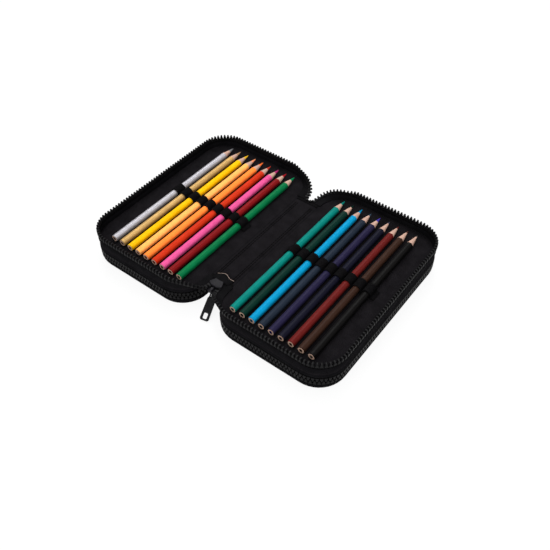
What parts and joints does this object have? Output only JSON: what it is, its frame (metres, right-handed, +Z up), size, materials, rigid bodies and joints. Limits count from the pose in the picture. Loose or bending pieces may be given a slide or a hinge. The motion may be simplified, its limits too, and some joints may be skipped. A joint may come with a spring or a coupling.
{
  "type": "pencil case",
  "caption": "Zipped three-deck pencil case lying open, with coloured pencils held in elastic loops.",
  "frame": {"origin": "on the table, at the middle of the overall width and length", "axes": "+X towards the right half, +Y towards the pencil tips, +Z up"},
  "size_m": [0.2762, 0.2038, 0.0352],
  "materials": {
    "padded_cloth": "woven, padded",
    "zip_teeth": "moulded",
    "lining_cloth": "woven",
    "zip_tape": "herringbone tape",
    "elastic": "ribbed elastic",
    "dark_metal": "dark enamel",
    "pull_rubber": "matt",
    "binding": "ribbed binding",
    "lacquer_silver": "gloss lacquer",
    "lacquer_gold": "gloss lacquer",
    "lacquer_yellow": "gloss lacquer",
    "lacquer_peach": "gloss lacquer",
    "lacquer_orange": "gloss lacquer",
    "lacquer_red": "gloss lacquer",
    "lacquer_pink": "gloss lacquer",
    "lacquer_crimson": "gloss lacquer",
    "lacquer_green": "gloss lacquer",
    "lacquer_teal": "gloss lacquer",
    "lacquer_fir": "gloss lacquer",
    "lacquer_cyan": "gloss lacquer",
    "lacquer_slate": "gloss lacquer",
    "lacquer_purple": "gloss lacquer",
    "lacquer_navy": "gloss lacquer",
    "lacquer_russet": "gloss lacquer",
    "lacquer_brown": "gloss lacquer",
    "lacquer_black": "gloss lacquer"
  },
  "bodies": {
    "right_cover": {"right_cover": "padded_cloth", "right_cover_teeth": "zip_teeth"},
    "right_half": {"right_outer_gusset": "padded_cloth", "right_outer_teeth": "zip_teeth", "right_divider": "lining_cloth", "right_inner_gusset": "padded_cloth", "right_inner_tape": "zip_tape", "right_inner_teeth": "zip_teeth", "right_front_corner": "zip_tape", "right_back_corner": "zip_tape", "right_pencil_loops": "elastic", "right_outer_slider": "dark_metal"},
    "spine": {"spine_panel": "lining_cloth", "spine_bindings": "binding", "centre_tape_end": "zip_tape", "centre_bottom_stop": "zip_teeth", "centre_top_stops": "zip_teeth", "centre_slider": "dark_metal"},
    "left_half": {"left_outer_gusset": "padded_cloth", "left_outer_teeth": "zip_teeth", "left_divider": "lining_cloth", "left_inner_gusset": "padded_cloth", "left_inner_tape": "zip_tape", "left_inner_teeth": "zip_teeth", "left_front_corner": "zip_tape", "left_back_corner": "zip_tape", "left_pencil_loops": "elastic", "left_outer_slider": "dark_metal"},
    "left_cover": {"left_cover": "padded_cloth", "left_cover_teeth": "zip_teeth"},
    "centre_pull": {"centre_pull_link": "dark_metal", "centre_pull_tab": "pull_rubber"},
    "right_outer_pull": {"right_outer_pull_link": "dark_metal", "right_outer_pull_tab": "pull_rubber"},
    "left_outer_pull": {"left_outer_pull_link": "dark_metal", "left_outer_pull_tab": "pull_rubber"},
    "pencil_teal": {"pencil_teal": "lacquer_teal"},
    "pencil_fir": {"pencil_fir": "lacquer_fir"},
    "pencil_cyan": {"pencil_cyan": "lacquer_cyan"},
    "pencil_slate": {"pencil_slate": "lacquer_slate"},
    "pencil_purple": {"pencil_purple": "lacquer_purple"},
    "pencil_navy": {"pencil_navy": "lacquer_navy"},
    "pencil_russet": {"pencil_russet": "lacquer_russet"},
    "pencil_brown": {"pencil_brown": "lacquer_brown"},
    "pencil_black": {"pencil_black": "lacquer_black"},
    "pencil_green": {"pencil_green": "lacquer_green"},
    "pencil_crimson": {"pencil_crimson": "lacquer_crimson"},
    "pencil_pink": {"pencil_pink": "lacquer_pink"},
    "pencil_red": {"pencil_red": "lacquer_red"},
    "pencil_orange": {"pencil_orange": "lacquer_orange"},
    "pencil_peach": {"pencil_peach": "lacquer_peach"},
    "pencil_yellow": {"pencil_yellow": "lacquer_yellow"},
    "pencil_gold": {"pencil_gold": "lacquer_gold"},
    "pencil_silver": {"pencil_silver": "lacquer_silver"}
  },
  "joints": [
    {"name": "right_cover_hinge", "type": "hinge", "parent": "right_cover", "child": "right_half", "pos_m": [0.0125, 0, 0.01075], "axis": [0, -1, 0], "range_deg": [0, 90]},
    {"name": "right_fold", "type": "hinge", "parent": "right_half", "child": "spine", "pos_m": [0.0125, 0, 0.0215], "axis": [0, 1, 0], "range_deg": [0, 90], "deforming": ["right_front_corner", "right_back_corner"]},
    {"name": "left_fold", "type": "hinge", "parent": "spine", "child": "left_half", "pos_m": [-0.0125, 0, 0.0215], "axis": [0, 1, 0], "range_deg": [0, 90], "deforming": ["left_front_corner", "left_back_corner"]},
    {"name": "left_cover_hinge", "type": "hinge", "parent": "left_half", "child": "left_cover", "pos_m": [-0.0125, 0, 0.01075], "axis": [0, -1, 0], "range_deg": [0, 90]},
    {"name": "centre_pull_hinge", "type": "hinge", "parent": "spine", "child": "centre_pull", "pos_m": [0, -0.07595, 0.01755], "axis": [1, 0, 0], "range_deg": [-35, 110]},
    {"name": "right_outer_pull_hinge", "type": "hinge", "parent": "right_half", "child": "right_outer_pull", "pos_m": [0.048, 0.09985, 0.01075], "axis": [0, 0, 1], "range_deg": [0, 165]},
    {"name": "left_outer_pull_hinge", "type": "hinge", "parent": "left_half", "child": "left_outer_pull", "pos_m": [-0.048, 0.09985, 0.01075], "axis": [0, 0, -1], "range_deg": [0, 165]},
    {"name": "pencil_teal_slide", "type": "slide", "parent": "right_half", "child": "pencil_teal", "axis": [0, 1, 0], "range_m": [-0.004, 0.004]},
    {"name": "pencil_fir_slide", "type": "slide", "parent": "right_half", "child": "pencil_fir", "axis": [0, 1, 0], "range_m": [-0.004, 0.004]},
    {"name": "pencil_cyan_slide", "type": "slide", "parent": "right_half", "child": "pencil_cyan", "axis": [0, 1, 0], "range_m": [-0.004, 0.004]},
    {"name": "pencil_slate_slide", "type": "slide", "parent": "right_half", "child": "pencil_slate", "axis": [0, 1, 0], "range_m": [-0.004, 0.004]},
    {"name": "pencil_purple_slide", "type": "slide", "parent": "right_half", "child": "pencil_purple", "axis": [0, 1, 0], "range_m": [-0.004, 0.004]},
    {"name": "pencil_navy_slide", "type": "slide", "parent": "right_half", "child": "pencil_navy", "axis": [0, 1, 0], "range_m": [-0.004, 0.004]},
    {"name": "pencil_russet_slide", "type": "slide", "parent": "right_half", "child": "pencil_russet", "axis": [0, 1, 0], "range_m": [-0.004, 0.004]},
    {"name": "pencil_brown_slide", "type": "slide", "parent": "right_half", "child": "pencil_brown", "axis": [0, 1, 0], "range_m": [-0.004, 0.004]},
    {"name": "pencil_black_slide", "type": "slide", "parent": "right_half", "child": "pencil_black", "axis": [0, 1, 0], "range_m": [-0.004, 0.004]},
    {"name": "pencil_green_slide", "type": "slide", "parent": "left_half", "child": "pencil_green", "axis": [0, 1, 0], "range_m": [-0.004, 0.004]},
    {"name": "pencil_crimson_slide", "type": "slide", "parent": "left_half", "child": "pencil_crimson", "axis": [0, 1, 0], "range_m": [-0.004, 0.004]},
    {"name": "pencil_pink_slide", "type": "slide", "parent": "left_half", "child": "pencil_pink", "axis": [0, 1, 0], "range_m": [-0.004, 0.004]},
    {"name": "pencil_red_slide", "type": "slide", "parent": "left_half", "child": "pencil_red", "axis": [0, 1, 0], "range_m": [-0.004, 0.004]},
    {"name": "pencil_orange_slide", "type": "slide", "parent": "left_half", "child": "pencil_orange", "axis": [0, 1, 0], "range_m": [-0.004, 0.004]},
    {"name": "pencil_peach_slide", "type": "slide", "parent": "left_half", "child": "pencil_peach", "axis": [0, 1, 0], "range_m": [-0.004, 0.004]},
    {"name": "pencil_yellow_slide", "type": "slide", "parent": "left_half", "child": "pencil_yellow", "axis": [0, 1, 0], "range_m": [-0.004, 0.004]},
    {"name": "pencil_gold_slide", "type": "slide", "parent": "left_half", "child": "pencil_gold", "axis": [0, 1, 0], "range_m": [-0.004, 0.004]},
    {"name": "pencil_silver_slide", "type": "slide", "parent": "left_half", "child": "pencil_silver", "axis": [0, 1, 0], "range_m": [-0.004, 0.004]}
  ],
  "couplings": [
    {"joint": "left_fold", "follows": "right_fold", "ratio": 1}
  ]
}
